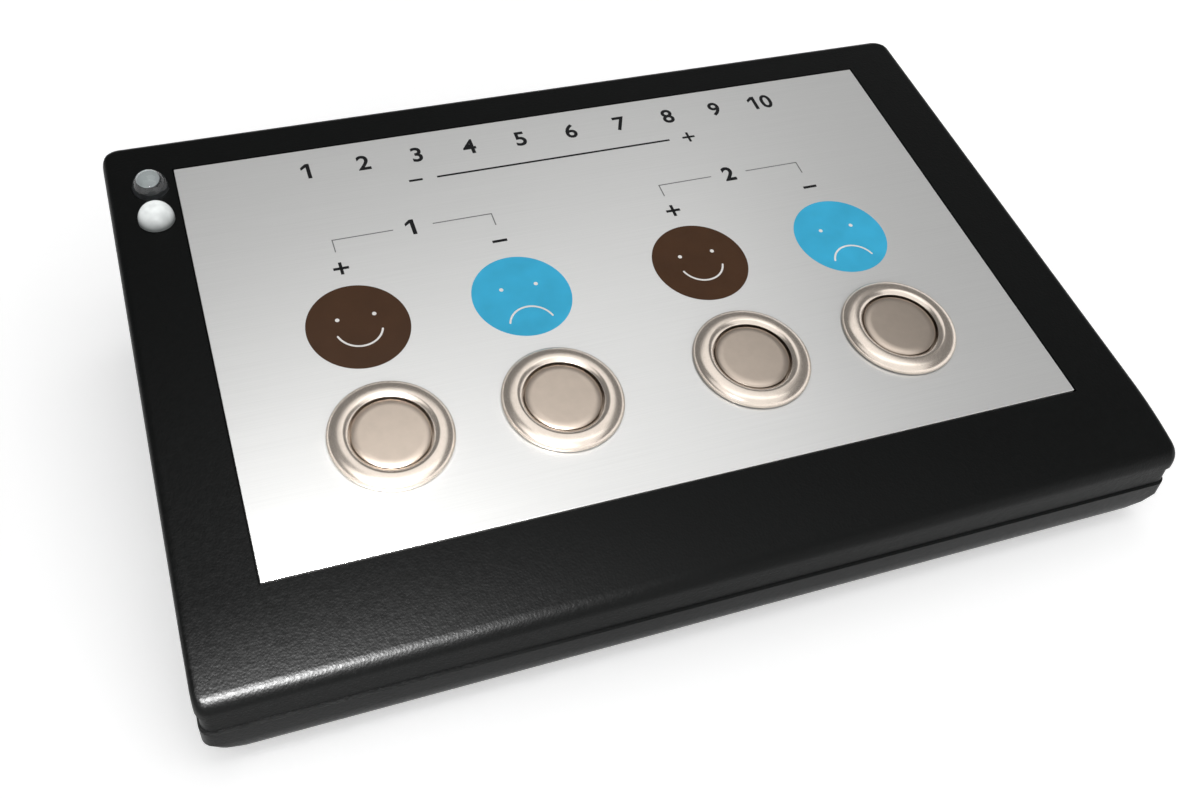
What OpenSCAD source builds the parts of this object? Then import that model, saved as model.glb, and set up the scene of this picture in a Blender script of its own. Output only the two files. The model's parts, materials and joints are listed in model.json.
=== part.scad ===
// Customer feedback terminal: a sloped desk case with four metal push buttons.
// X runs to the right, Y to the back and Z up, in millimetres. The origin is the
// middle of the case's footprint, on the surface that the feet stand on.

/* [Case] */
// Width of the case
case_w = 202; // [198:1:220]
// Depth of the case on the desk, front to back
case_d = 129.4; // [126:0.2:145]
// Height of the panel's plane above the desk, at the front wall
front_h = 21.5; // [21:0.5:30]
// Slope of the panel against the desk, in degrees
slope = 14; // [12:0.5:17]
// Radius of the rear corners, seen from above
corner_r = 4; // [3:0.5:6]
// Radius of the front corners, seen from above
front_corner_r = 2.5; // [2:0.5:4]

/* [Cover] */
// Wall of the cover
cover_wall = 3; // [2.6:0.1:3.6]
// Length of the downward curve between the flat panel and the front wall
nose_run = 18; // [15:0.5:22]
// Radius of that downward curve
nose_sweep_r = 100; // [80:5:140]
// Radius of the nose, where the curve turns into the front wall
nose_r = 3.5; // [3.2:0.1:4]
// Radius along the side edges of the panel
side_edge_r = 1.4; // [1:0.2:3]
// Radius along the rear edge of the panel
rear_edge_r = 2; // [1:0.5:4]
// Depth of the cover's full-width edge below the panel
skirt_h = 5; // [4.8:0.1:6]
// Height of the stepped-in band under that edge
band_h = 4.1; // [3.4:0.1:5]
// How far the band is stepped in from the cover's edge and the base
band_step = 0.45; // [0.3:0.05:0.8]
// Shadow gap between the band and the base
seam_gap = 0.4; // [0.2:0.1:0.6]

/* [Base] */
// Wall of the base
base_wall = 2.5; // [2:0.1:3]
// Thickness of the base's floor
floor_t = 3; // [2.8:0.1:3.6]
// Radius of the rounding round the foot of the base
foot_r = 7; // [4:0.5:8]
// Radius of the base's corners at the foot, seen from above
foot_corner_r = 10; // [6:0.5:11]
// Thickness of the tongue that locates the cover
tongue_t = 1.2; // [1:0.1:1.6]
// How far the tongue reaches to either side of the seam
tongue_h = 2; // [1.5:0.1:2.6]
// Play between the tongue and the cover
tongue_play = 0.2; // [0.1:0.05:0.3]

/* [Feet and screws] */
// Diameter of a rubber foot
foot_d = 10; // [8:0.5:11]
// How far a foot stands below the base
foot_h = 1.5; // [1:0.1:2.5]
// Depth of a foot's pocket in the floor
foot_pocket = 0.8; // [0.5:0.1:1.2]
// Distance from the case's side to a foot's middle
foot_side = 12; // [10:0.5:14]
// Distance from the case's front or rear to a foot's middle
foot_end = 12; // [10:0.5:12.5]
// Distance from the case's side to a case screw
screw_side = 26; // [24:0.5:30]
// Distance from the case's front or rear to a case screw
screw_end = 10; // [9:0.5:12]
// Shank diameter of a case screw
screw_d = 3; // [2.5:0.1:3.5]
// Head diameter of a case screw
screw_head_d = 5.6; // [5:0.1:6]
// Wall round a screw hole
boss_wall = 2; // [1.6:0.1:2.4]
// Depth below the panel at which the two halves' screw bosses meet
boss_drop = 9; // [8.5:0.1:9.5]
// How far a screw bites into the cover's boss
screw_bite = 4; // [3:0.2:4.4]

/* [Face plate] */
// Width of the strip between the face plate and each side of the case
plate_side = 15; // [15:0.5:17]
// Width of the strip between the face plate and the panel's rear edge
plate_rear = 10.4; // [9:0.1:12]
// Thickness of the face plate
plate_t = 1; // [0.8:0.1:1.2]
// Thickness of the adhesive film under it
adhesive_t = 0.2; // [0.1:0.05:0.3]
// Flat strip between the downward curve and the face plate
plate_margin = 1; // [0.6:0.1:2]
// Gap round the face plate in its recess
plate_gap = 0.35; // [0.2:0.05:0.5]

/* [Buttons] */
// Spacing of the two buttons of a pair
button_pitch = 35.3; // [33:0.1:37]
// Spacing of the two pairs' middles
pair_pitch = 77.3; // [74:0.1:80]
// Share of the face plate's height that lies in front of the button middles
button_share = 0.231; // [0.22:0.001:0.25]
// How far a bezel's flange stands out past its barrel
flange_out = 1.5; // [1.2:0.1:2]
// Height of the flange's crest above its seal
bezel_h = 1.6; // [1:0.1:2]
// Height of the flange's inner lip above its seal
lip_h = 0.7; // [0.5:0.1:0.9]
// Diameter of the threaded barrel
barrel_d = 22; // [21:0.2:22.4]
// Length of the barrel below the seal
barrel_l = 14; // [13:0.5:15]
// Pitch of the barrel's thread
thread_pitch = 1; // [0.8:0.1:1.4]
// Thickness of the seal under the flange
seal_t = 0.3; // [0.2:0.1:0.6]
// Wall of the barrel, threads included
barrel_wall = 2; // [1.7:0.1:2.4]
// Gap round the cap in the flange
cap_gap = 0.4; // [0.2:0.05:0.5]
// How far the cap's top lies below the flange's crest
cap_sink = 0.5; // [0:0.05:0.6]
// Radius of the cap's top edge
cap_edge_r = 0.45; // [0.2:0.05:0.6]
// Thickness of the cap's guide collar
collar_t = 2; // [1.5:0.1:2.4]
// How far the collar stands out past the cap
collar_out = 0.9; // [0.7:0.05:1]
// Diameter of the cap's stem
stem_d = 6; // [5:0.2:7]
// Travel of the cap
travel = 2; // [1:0.1:2.2]
// Wall of the lock nut at its flats
nut_wall = 2.5; // [2:0.1:3]
// Thickness of the lock nut
nut_t = 3; // [2:0.2:4]
// Wire diameter of the return spring
spring_wire = 0.7; // [0.5:0.05:0.8]
// Mean diameter of the return spring
spring_d = 9.5; // [9:0.1:10]
// Turns of the return spring
spring_turns = 3.5; // [2.5:0.5:4]
// Depth of the switch block behind the barrel
block_t = 3.5; // [3:0.1:4]
// Length of the solder terminals
terminal_l = 3.5; // [3:0.1:4]

/* [Lamps] */
// Diameter of a lamp's dome
lamp_d = 7.8; // [7:0.1:8.2]
// Thickness of a lamp's rim under the cover
lamp_rim_t = 1; // [0.8:0.1:1.4]
// How far the rim stands out past the dome
lamp_rim_out = 0.6; // [0.4:0.1:0.7]
// Distance from the case's side to the lamps
lamp_side = 9.4; // [8.4:0.1:10]
// Distance from the case's rear edge to the upper lamp
lamp_rear = 14.7; // [13:0.1:16]
// Spacing of the two lamps
lamp_pitch = 9.6; // [9.6:0.1:11]
// Length of a lamp's leads down to its board
lead_l = 3; // [2:0.5:4]

/* [Main board] */
// Room between the main board and the battery tray
board_gap = 8.6; // [7:0.1:10]
// Depth of the main board
board_l = 58; // [56:1:59]
// Thickness of a circuit board
board_t = 1.6; // [1:0.1:2]
// Clearance under the main board
board_lift = 4.5; // [4:0.1:6]
// Distance from the rear wall's inside to the main board
board_rear = 1.5; // [1.2:0.1:2.5]
// Distance from the case's left side to the main board
board_side = 34; // [33:0.5:36]
// Distance from a board edge to its screws
board_hole_in = 4; // [3.5:0.1:5]
// Shank diameter of a board screw
board_screw_d = 2.5; // [2:0.1:2.6]

/* [Battery bay] */
// Diameter of a cell
cell_d = 14.2; // [13.8:0.1:14.4]
// Length of a cell
cell_l = 50; // [48:0.5:50.5]
// Number of cells
cells = 3; // [2:1:3]
// Room between neighbouring cells
cell_gap = 0.6; // [0.4:0.1:1]
// Thickness of the contact plates
contact_t = 0.4; // [0.3:0.05:0.6]
// Length of a contact coil
coil_l = 5.5; // [4.5:0.5:6.5]
// Wall of the battery tray
tray_wall = 1.5; // [1.2:0.1:1.8]
// Distance from the case's right side to the tray
tray_side = 20; // [19:0.5:22]
// Thickness of the battery door
door_t = 2; // [1.8:0.1:2.1]
// Play round the battery door
door_play = 0.25; // [0.15:0.05:0.3]
// How far the door's tongues reach into the floor's grooves
door_tongue = 1.5; // [1:0.1:2]

/* [Wiring] */
// Diameter of an insulated wire
wire_d = 1.3; // [1:0.1:1.5]

/* [Hidden] */
$fn = 96;
button_ids = [1:4];
cell_ids = [1:cells];

// A thin slice, and a reach past everything that is cut.
slice = 0.01;
far = 300;

// The slope frame: X as on the desk, Y up the panel from the front wall, Z out of the panel.
slope_len = case_d / cos(slope);
seam_n = skirt_h + band_h;
base_top_n = seam_n + seam_gap;
case_x = case_w / 2;
case_y = case_d / 2;

// Insets from the case's outline.
tongue_in = cover_wall + tongue_play;

// Heights above the desk.
floor_z = foot_h + floor_t;
board_z = floor_z + board_lift;
board_top_z = board_z + board_t;

// The face plate and the buttons, up the slope.
plate_s = nose_run + plate_margin;
plate_w = case_w - 2 * plate_side;
plate_h = slope_len - plate_rear - plate_s;
plate_mid = plate_s + plate_h / 2;
recess_t = plate_t + adhesive_t;
button_s = plate_s + button_share * plate_h;
button_x = [for (p = [-1, 1]) for (b = [-1, 1]) (p * pair_pitch + b * button_pitch) / 2];

// Inside a push button: radii, and heights above the face plate.
part_play = 0.1;
end_play = 0.05;
hole_d = barrel_d + 3 * part_play;
bezel_d = barrel_d + 2 * flange_out;
nut_flats = barrel_d + 2 * nut_wall;
bore_r = barrel_d / 2 - barrel_wall;
collar_r = bore_r - 2 * part_play;
cap_d = 2 * (collar_r - collar_out);
mouth_r = cap_d / 2 + cap_gap;
crest_in = 2.9;
flange_edge_h = 0.25;
shoulder_n = -1.5;
collar_top_n = shoulder_n - end_play;
collar_end_n = collar_top_n - collar_t;
thread_depth = 0.5;
seal_in = 0.4;
spring_room = 1.5;
block_top_n = collar_end_n - travel - spring_turns * spring_wire - spring_room;
block_end_n = -barrel_l - block_t;
stem_guide = 3;
stem_end_n = block_top_n - stem_guide;
stem_hole_n = stem_end_n - travel - 0.5;
cap_top_n = seal_t + bezel_h - cap_sink;
block_d = barrel_d - 2;
terminal_x = 3.5;
terminal_size = [2.8, 0.6];

// Case screws.
screw_at = [case_x - screw_side, case_y - screw_end];
boss_d = screw_d + 2 * boss_wall;
screw_seat = 3;
screw_head_t = 2.2;
head_hole_d = screw_head_d + 0.6;
post_d = head_hole_d + 2 * boss_wall;
screw_play = 0.1;
post_wall = 1.4;

// Lamps, up the slope.
lamp_x = -case_x + lamp_side;
lamp_s = slope_len - lamp_rear;
lamp_under_n = -cover_wall - lamp_rim_t;
lamp_board_n = lamp_under_n - lead_l;
lamp_board_w = 7;
lamp_board_over = 5;
lamp_post_s = lamp_s - lamp_pitch - 10;
lamp_screw_d = 2;

// Battery bay: the room inside the tray, and the door under it. From front to back the tray
// stands in the middle of the room between the switch blocks and the rear screw posts.
nub = [5.2, 1.2];
bay_play = 0.4;
bay = [cell_l + coil_l + 2 * contact_t + 2 * end_play,
       cells * cell_d + (cells - 1) * cell_gap + 2 * bay_play];
bay_right = case_x - tray_side - tray_wall;
bay_left = bay_right - bay[0];
blocks_rear_y = -case_y + (button_s + block_d / 2) * cos(slope) - block_end_n * sin(slope);
posts_front_y = screw_at[1] - post_d / 2;
bay_front = (blocks_rear_y + posts_front_y - bay[1]) / 2;
door_top_z = foot_h + door_t;
cell_z = door_top_z + 0.3 + cell_d / 2;
bay_top_z = cell_z + cell_d / 2 + 0.3;
door_over = 1.2;
tongue_z = door_top_z - 0.9;
door_left = bay_left - door_over - door_tongue;
contact_size = 11;
coil_wire = 0.8;
coil_d = 7;

// Main board: its middle, its screws and what it carries.
board_left_x = -case_x + board_side;
board_right_x = bay_left - tray_wall - board_gap;
board_w = board_right_x - board_left_x;
board_at = [(board_left_x + board_right_x) / 2, case_y - base_wall - board_rear - board_l / 2];
board_front_y = board_at[1] - board_l / 2;
port_size = [7.7, 9.2, 3.9];
port_shell = 0.4;
port_mouth_y = case_y - band_step - 1;
port_play = 0.3;
header_size = [6, 5, 6];
header_in = [16, 11];
header_ends = [board_left_x + header_in[0], board_right_x - header_in[1]];
header_shares = [0, 0.49, 0.77, 1];
header_x = [for (share = header_shares) header_ends * [1 - share, share]];
header_y = board_front_y + 4;
header_top_z = board_top_z + header_size[2];
pin_pitch_half = 1.3;
power_at = [board_right_x - 6, board_at[1] - 8];
lamp_plug_at = [board_left_x + 6, board_at[1]];

function front_s(inset, n) = (inset + n * sin(slope)) / cos(slope);
function rear_s(inset, n) = slope_len + (-inset + n * sin(slope)) / cos(slope);
function desk(x, s, n) = [
    x, -case_y + s * cos(slope) - n * sin(slope), front_h + s * sin(slope) + n * cos(slope)];
function panel_z(y) = front_h + (y + case_y) * tan(slope);
function arc_inset(r, e) = e < r ? r - sqrt(r ^ 2 - (r - e) ^ 2) : 0;
function arc(c, r, from, to, steps) = [
    for (k = [0:steps]) let (a = from + (to - from) * k / steps) c + r * [cos(a), sin(a)]];
function cell_y(i) = bay_front + bay_play + cell_d / 2 + (i - 1) * (cell_d + cell_gap);

// The cover's side view in the slope frame, drawn in by front_in, rear_in and, at the panel,
// by drop: nose, downward curve, panel and rear edge.
function cover_profile(front_in, rear_in, drop, nose, rear, bottom) =
    let (
        sweep_c = [nose_run, -drop - nose_sweep_r],
        k = (front_in + nose) / cos(slope) - nose_run,
        q = drop + nose_sweep_r,
        m = tan(slope),
        b = k * m + q,
        reach = nose_sweep_r - nose,
        nose_n = (-b + sqrt(b ^ 2 - (1 + m ^ 2) * (k ^ 2 + q ^ 2 - reach ^ 2))) / (1 + m ^ 2),
        nose_c = [front_s(front_in + nose, nose_n), nose_n],
        to_nose = nose_c - sweep_c,
        meet = atan2(to_nose[1], to_nose[0]),
        rear_n = -drop - rear,
        rear_c = [rear_s(rear_in + rear, rear_n), rear_n]
    )
    concat(
        [[rear_s(rear_in, -bottom), -bottom], [front_s(front_in, -bottom), -bottom]],
        arc(nose_c, nose, 180 - slope, meet, 8),
        arc(sweep_c, nose_sweep_r, meet, 90, 8),
        arc(rear_c, rear, 90, -slope, 6)
    );

// Points along a smooth curve through the given ones, with its first and last legs straight.
function curve_point(p, i, u) =
    let (a = p[i - 1], b = p[i], c = p[i + 1], d = p[i + 2])
    (2 * b + (c - a) * u + (2 * a - 5 * b + 4 * c - d) * u ^ 2 + (3 * b - a - 3 * c + d) * u ^ 3) / 2;
function curve(p, steps) = concat(
    [p[0]],
    [for (i = [1:len(p) - 3]) for (k = [0:steps - 1]) curve_point(p, i, k / steps)],
    [p[len(p) - 2], p[len(p) - 1]]);
function helix(r, h, turns) = [
    for (k = [0:turns * 12]) [r * cos(30 * k), r * sin(30 * k), h * k / (turns * 12)]];
function unit(v) = v / norm(v);
function tangent(p, i) = unit(p[min(i + 1, len(p) - 1)] - p[max(i - 1, 0)]);
function across(v, t) = unit(v - (v * t) * t);
function first_side(t) = across(abs(t[0]) < 0.8 ? [1, 0, 0] : [0, 1, 0], t);
function side_vectors(p) = [
    for (i = 0, v = first_side(tangent(p, 0)); i < len(p);
         i = i + 1, v = i < len(p) ? across(v, tangent(p, i)) : v) v];

module on_slope() translate([0, -case_y, front_h]) rotate([slope, 0, 0]) children();
module at_plate() on_slope() translate([0, plate_mid, 0]) children();
module at_button(i) on_slope() translate([button_x[i - 1], button_s, 0]) children();
module at_lamp(k) on_slope() translate([lamp_x, lamp_s - k * lamp_pitch, 0]) children();
module in_corners(x, y) for (sx = [-1, 1]) for (sy = [-1, 1]) translate([sx * x, sy * y, 0]) children();

// All between two depths below the panel's plane.
module slope_slab(top, bottom)
    on_slope() translate([-far, -far, -bottom]) cube([2 * far, 2 * far, bottom - top]);

// The case's outline seen from above, drawn in by an inset, with corners of at least min_r.
module case_outline(inset, min_r = 0.5) {
    w = case_w / 2 - inset;
    d = case_d / 2 - inset;
    front_r = max(front_corner_r - inset, min_r);
    rear_r = max(corner_r - inset, min_r);
    for (end = [[-1, front_r], [1, rear_r]]) mirror([0, end[0] < 0 ? 1 : 0, 0]) {
        translate([end[1] - w, -slice]) square([2 * (w - end[1]), d + slice]);
        translate([-w, -slice]) square([2 * w, d - end[1] + slice]);
        for (sx = [-1, 1]) translate([sx * (w - end[1]), d - end[1]]) circle(end[1]);
    }
}

module case_prism(inset, min_r = 0.5) linear_extrude(far) case_outline(inset, min_r);

// A screw with its head below z = 0 and its shank above it.
module screw(d, head, head_h, l) {
    difference() {
        translate([0, 0, -head_h]) cylinder(d = head, h = head_h);
        for (a = [0, 90]) rotate(a) translate([-head * 0.3, -head * 0.07, -head_h - 1])
            cube([head * 0.6, head * 0.14, 1.9]);
    }
    cylinder(d = d, h = l);
}

// A round wire along a path, with flat ends.
module tube(path, d, sides) {
    v = side_vectors(path);
    last = len(path) - 1;
    points = [
        for (i = [0:last]) let (t = tangent(path, i), w = cross(t, v[i]))
        for (k = [0:sides - 1]) let (a = 360 * k / sides) path[i] + d / 2 * (cos(a) * v[i] + sin(a) * w)];
    walls = [
        for (i = [0:last - 1]) for (k = [0:sides - 1]) let (m = (k + 1) % sides)
        [i * sides + k, (i + 1) * sides + k, (i + 1) * sides + m, i * sides + m]];
    ends = [[for (k = [0:sides - 1]) k], [for (k = [sides - 1:-1:0]) last * sides + k]];
    polyhedron(points, concat(walls, ends));
}

// Cover and base

// The solid outside of the cover, before the step and the seam are cut.
module cover_skin() on_slope() hull()
    for (k = [0:8]) for (side = [-1, 1]) let (e = corner_r * (1 - cos(90 * k / 8)))
        translate([side * (case_x - e), 0, 0]) rotate([90, 0, 90]) linear_extrude(slice, center = true)
            polygon(cover_profile(
                arc_inset(front_corner_r, e), arc_inset(corner_r, e), arc_inset(side_edge_r, e),
                nose_r, rear_edge_r, seam_n + 1));

// What the cover's outside loses below its full-width edge.
module cover_step() {
    slope_slab(seam_n, far);
    difference() {
        slope_slab(skirt_h, seam_n + 2);
        case_prism(band_step);
    }
}

// The room under the cover.
module cover_room() on_slope() rotate([90, 0, 90])
    linear_extrude(case_w - 2 * cover_wall, center = true)
        polygon(cover_profile(cover_wall, cover_wall, cover_wall, 0.5, 0.5, seam_n + 2));

// Where the two halves' screw bosses meet, and the cover's surface above a place.
function boss_z(y) = panel_z(y) - boss_drop;
function sweep_drop(s) =
    s < nose_run ? nose_sweep_r - sqrt(nose_sweep_r ^ 2 - (nose_run - s) ^ 2) : 0;
function cover_z(y) = panel_z(y) - sweep_drop((y + case_y) / cos(slope));

// At each case screw, where the bosses meet: $top is that height above the desk, and
// $to_wall the way up from there into the middle of the cover's wall.
module at_screws() for (sx = [-1, 1]) for (sy = [-1, 1]) {
    $top = boss_z(sy * screw_at[1]);
    $to_wall = cover_z(sy * screw_at[1]) - cover_wall / 2 - $top;
    translate([sx * screw_at[0], sy * screw_at[1], $top]) children();
}

// The cover's screw bosses and the post that carries the lamp board.
module cover_posts() {
    at_screws() difference() {
        cylinder(d = boss_d, h = $to_wall);
        translate([0, 0, -slice]) cylinder(d = screw_d + screw_play, h = screw_bite + 0.5);
    }
    on_slope() translate([lamp_x, lamp_post_s, lamp_board_n]) difference() {
        cylinder(d = lamp_screw_d + 2 * post_wall, h = -lamp_board_n - cover_wall / 2);
        translate([0, 0, -slice]) cylinder(d = lamp_screw_d + screw_play, h = 3.5);
    }
}

module top_cover() color([0.09, 0.1, 0.1]) difference() {
    union() {
        difference() {
            cover_skin();
            cover_step();
            cover_room();
        }
        cover_posts();
    }
    at_plate() translate([-plate_w / 2 - plate_gap, -plate_h / 2 - plate_gap, -recess_t])
        cube([plate_w + 2 * plate_gap, plate_h + 2 * plate_gap, 2 * recess_t]);
    for (i = button_ids) at_button(i) cylinder(d = hole_d, h = 4 * cover_wall, center = true);
    for (k = [0, 1]) at_lamp(k) cylinder(d = lamp_d + 2 * part_play, h = 4 * cover_wall, center = true);
}

// The solid outside of the base, cut along the seam.
module base_block() difference() {
    union() {
        hull() for (a = [0:15:90]) translate([0, 0, foot_h + foot_r * (1 - cos(a))])
            linear_extrude(slice) case_outline(
                foot_r * (1 - sin(a)),
                front_corner_r + (foot_corner_r - front_corner_r) * cos(a), $fn = 32);
        translate([0, 0, foot_h + foot_r]) case_prism(0);
    }
    slope_slab(-far, base_top_n);
}

// The rim that reaches up inside the cover, with its root on the base's wall.
module tongue() for (part = [[tongue_in, -tongue_h, slice], [base_wall / 2, 0, tongue_h]])
    intersection() {
        difference() {
            case_prism(part[0]);
            case_prism(tongue_in + tongue_t);
        }
        slope_slab(base_top_n + part[1], base_top_n + part[2]);
    }

// The battery door's plate and tongues, or with play the recess that it slides in.
module door_space(play) {
    reach = case_w - door_left;
    translate([door_left + door_tongue - play, bay_front - door_over - play, foot_h - play])
        cube([reach, bay[1] + 2 * (door_over + play), door_t + 2 * play]);
    translate([door_left - play, bay_front - door_over - door_tongue - play, tongue_z - play])
        cube([reach, bay[1] + 2 * (door_over + door_tongue + play), door_top_z - tongue_z + 2 * play]);
}

module at_board_holes() translate([board_at[0], board_at[1], board_z])
    in_corners(board_w / 2 - board_hole_in, board_l / 2 - board_hole_in) children();

module base_shell() color([0.11, 0.12, 0.12]) difference() {
    union() {
        difference() {
            base_block();
            translate([0, 0, floor_z]) case_prism(base_wall, foot_corner_r - base_wall);
        }
        tongue();
        at_screws() translate([0, 0, foot_h + 1 - $top])
            cylinder(d = post_d, h = $top - foot_h - 1);
        at_board_holes() translate([0, 0, -board_lift - 1])
            cylinder(d = board_screw_d + 2 * post_wall, h = board_lift + 1);
    }
    at_screws() {
        translate([0, 0, -screw_seat - 1]) cylinder(d = screw_d + 0.4, h = screw_seat + 2);
        translate([0, 0, -$top]) cylinder(d = head_hole_d, h = $top - screw_seat);
    }
    at_board_holes() translate([0, 0, -board_lift + 0.3])
        cylinder(d = board_screw_d + screw_play, h = board_lift);
    in_corners(case_x - foot_side, case_y - foot_end)
        cylinder(d = foot_d + 2 * part_play, h = foot_h + foot_pocket);
    door_space(door_play);
    translate([bay_left, bay_front, foot_h]) cube([bay[0], bay[1], 2 * floor_t]);
    translate([board_at[0], case_y - base_wall, board_top_z + port_size[2] / 2])
        cube([port_size[0] + 2 * port_play, 3 * base_wall, port_size[2] + 2 * port_play], center = true);
}

module rubber_feet() color([0.05, 0.05, 0.05]) in_corners(case_x - foot_side, case_y - foot_end)
    rotate_extrude() polygon([
        [0, 0], [foot_d / 2 - 0.5, 0], [foot_d / 2, 0.5],
        [foot_d / 2, foot_h + foot_pocket], [0, foot_h + foot_pocket]]);

module case_screws() color([0.6, 0.6, 0.62]) at_screws() translate([0, 0, -screw_seat])
    screw(screw_d, screw_head_d, screw_head_t, screw_seat + screw_bite);

// Face plate

module plate_sheet(bottom, t, edge) at_plate() translate([0, 0, bottom]) difference() {
    translate([edge - plate_w / 2, edge - plate_h / 2, 0]) cube([plate_w - 2 * edge, plate_h - 2 * edge, t]);
    for (x = button_x) translate([x, button_s - plate_mid, -1]) cylinder(d = hole_d, h = t + 2);
}

module face_plate() color([0.86, 0.86, 0.85]) plate_sheet(-plate_t, plate_t, 0);

module plate_adhesive() color([0.75, 0.75, 0.7]) plate_sheet(-recess_t, adhesive_t, 0.5);

// Push buttons

function bezel_section() =
    let (
        out = bezel_d / 2,
        crest = [out - crest_in, seal_t + bezel_h],
        edge_h = seal_t + flange_edge_h,
        rim = seal_t + lip_h,
        threads = floor((barrel_l - 1) / thread_pitch)
    )
    concat(
        [[barrel_d / 2, seal_t], [out, seal_t]],
        [for (k = [0:8]) let (a = 90 * k / 8)
            [crest[0] + crest_in * cos(a), edge_h + (crest[1] - edge_h) * sin(a)]],
        [for (k = [1:8]) let (a = 90 * k / 8)
            [crest[0] - (crest[0] - mouth_r) * sin(a), rim + (crest[1] - rim) * cos(a)]],
        [[mouth_r, shoulder_n], [bore_r, shoulder_n],
         [bore_r, -barrel_l], [barrel_d / 2 - thread_depth, -barrel_l]],
        [for (k = [1:threads]) for (e = [0, 1])
            [barrel_d / 2 - (1 - e) * thread_depth, -barrel_l + (k - 0.5 + e / 2) * thread_pitch]]
    );

module button_bezel(i) color([0.72, 0.68, 0.63]) at_button(i) rotate_extrude() polygon(bezel_section());

module button_cap(i) color([0.72, 0.68, 0.63]) at_button(i) rotate_extrude() polygon(concat(
    [[0, cap_top_n]],
    arc([cap_d / 2 - cap_edge_r, cap_top_n - cap_edge_r], cap_edge_r, 90, 0, 6),
    [[cap_d / 2, collar_top_n], [collar_r, collar_top_n], [collar_r, collar_end_n],
     [stem_d / 2, collar_end_n], [stem_d / 2, stem_end_n], [0, stem_end_n]]));

module return_spring(i) color([0.7, 0.7, 0.72]) at_button(i)
    translate([0, 0, block_top_n + spring_wire / 2 + end_play]) tube(
        helix(spring_d / 2, collar_end_n - block_top_n - spring_wire - 2 * end_play, spring_turns),
        spring_wire, 6);

module bezel_seal(i) color([0.08, 0.08, 0.08]) at_button(i) difference() {
    cylinder(d = bezel_d - 2 * seal_in, h = seal_t);
    translate([0, 0, -1]) cylinder(d = hole_d, h = seal_t + 2);
}

module lock_nut(i) color([0.75, 0.72, 0.66]) at_button(i)
    translate([0, 0, -cover_wall - nut_t]) difference() {
        cylinder(d = nut_flats / cos(30), h = nut_t, $fn = 6);
        translate([0, 0, -1]) cylinder(d = hole_d, h = nut_t + 2);
    }

module switch_block(i) color([0.14, 0.14, 0.15]) at_button(i) difference() {
    union() {
        translate([0, 0, -barrel_l - slice])
            cylinder(r = bore_r - part_play, h = block_top_n + barrel_l + slice);
        translate([0, 0, block_end_n]) cylinder(d = block_d, h = block_t);
    }
    translate([0, 0, stem_hole_n]) cylinder(d = stem_d + 2 * part_play, h = barrel_l);
}

module switch_terminals(i) color([0.8, 0.78, 0.7]) at_button(i) for (side = [-1, 1])
    translate([side * terminal_x, 0, block_end_n - terminal_l / 2])
        cube([terminal_size[0], terminal_size[1], terminal_l], center = true);

// Lamps

module lamp(k) color([0.85, 0.87, 0.88]) at_lamp(k) {
    intersection() {
        sphere(d = lamp_d);
        translate([0, 0, lamp_d / 2]) cube(lamp_d, center = true);
    }
    translate([0, 0, lamp_under_n]) cylinder(d = lamp_d, h = -lamp_under_n);
    translate([0, 0, lamp_under_n]) cylinder(d = lamp_d + 2 * lamp_rim_out, h = lamp_rim_t);
    for (x = [-1.27, 1.27]) translate([x, 0, lamp_board_n]) cylinder(d = 0.6, h = lead_l + 0.5);
}

module lamp_board() color([0.1, 0.35, 0.2]) on_slope() difference() {
    translate([lamp_x - lamp_board_w / 2, lamp_post_s - lamp_board_w / 2, lamp_board_n - board_t])
        cube([lamp_board_w, lamp_s - lamp_post_s + lamp_board_w / 2 + lamp_board_over, board_t]);
    translate([lamp_x, lamp_post_s, lamp_board_n - board_t - 1])
        cylinder(d = lamp_screw_d + 0.3, h = board_t + 2);
}

module lamp_board_screw() color([0.6, 0.6, 0.62]) on_slope()
    translate([lamp_x, lamp_post_s, lamp_board_n - board_t])
        screw(lamp_screw_d, 2 * lamp_screw_d, 1.2, board_t + 3);

// Main board

module main_board() color([0.1, 0.35, 0.2]) difference() {
    translate([board_at[0] - board_w / 2, board_front_y, board_z]) cube([board_w, board_l, board_t]);
    at_board_holes() translate([0, 0, -1]) cylinder(d = board_screw_d + 0.4, h = board_t + 2);
}

module board_screws() color([0.6, 0.6, 0.62]) at_board_holes() translate([0, 0, board_t]) mirror([0, 0, 1])
    screw(board_screw_d, 1.9 * board_screw_d, 1.6, board_t + board_lift - 1);

module on_board(x, y, size) translate([x - size[0] / 2, y - size[1] / 2, board_top_z]) cube(size);

module processor() color([0.06, 0.06, 0.07])
    on_board(board_at[0] - 4, board_at[1] + 2, [12, 12, 1.5]);

module memory_chip() color([0.06, 0.06, 0.07])
    on_board(board_at[0] + 16, board_at[1] + 2, [5, 6, 1.6]);

// The socket: a thin shell on the board's rear edge with a contact tongue inside.
module data_port() color([0.75, 0.75, 0.77])
    translate([board_at[0] - port_size[0] / 2, port_mouth_y - port_size[1], board_top_z]) difference() {
        cube(port_size);
        translate([port_shell, 1.5, port_shell]) difference() {
            cube([port_size[0] - 2 * port_shell, port_size[1], port_size[2] - 2 * port_shell]);
            translate([1.2, -1, 1.1]) cube([port_size[0] - 3.2, port_size[1] - 1.2, 0.9]);
        }
    }

module button_connectors() color([0.9, 0.88, 0.82])
    for (x = header_x) on_board(x, header_y, header_size);

module power_connector() color([0.9, 0.88, 0.82])
    on_board(power_at[0], power_at[1], header_size);

module lamp_connector() color([0.9, 0.88, 0.82])
    on_board(lamp_plug_at[0], lamp_plug_at[1], header_size);

// Battery bay

module battery_door() color([0.11, 0.12, 0.12]) difference() {
    intersection() {
        base_block();
        door_space(0);
    }
    for (k = [0:3]) translate([bay_right - 12 - 3 * k, bay_front + bay[1] / 4, foot_h - 1])
        cube([1.2, bay[1] / 2, 1.5]);
}

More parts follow.
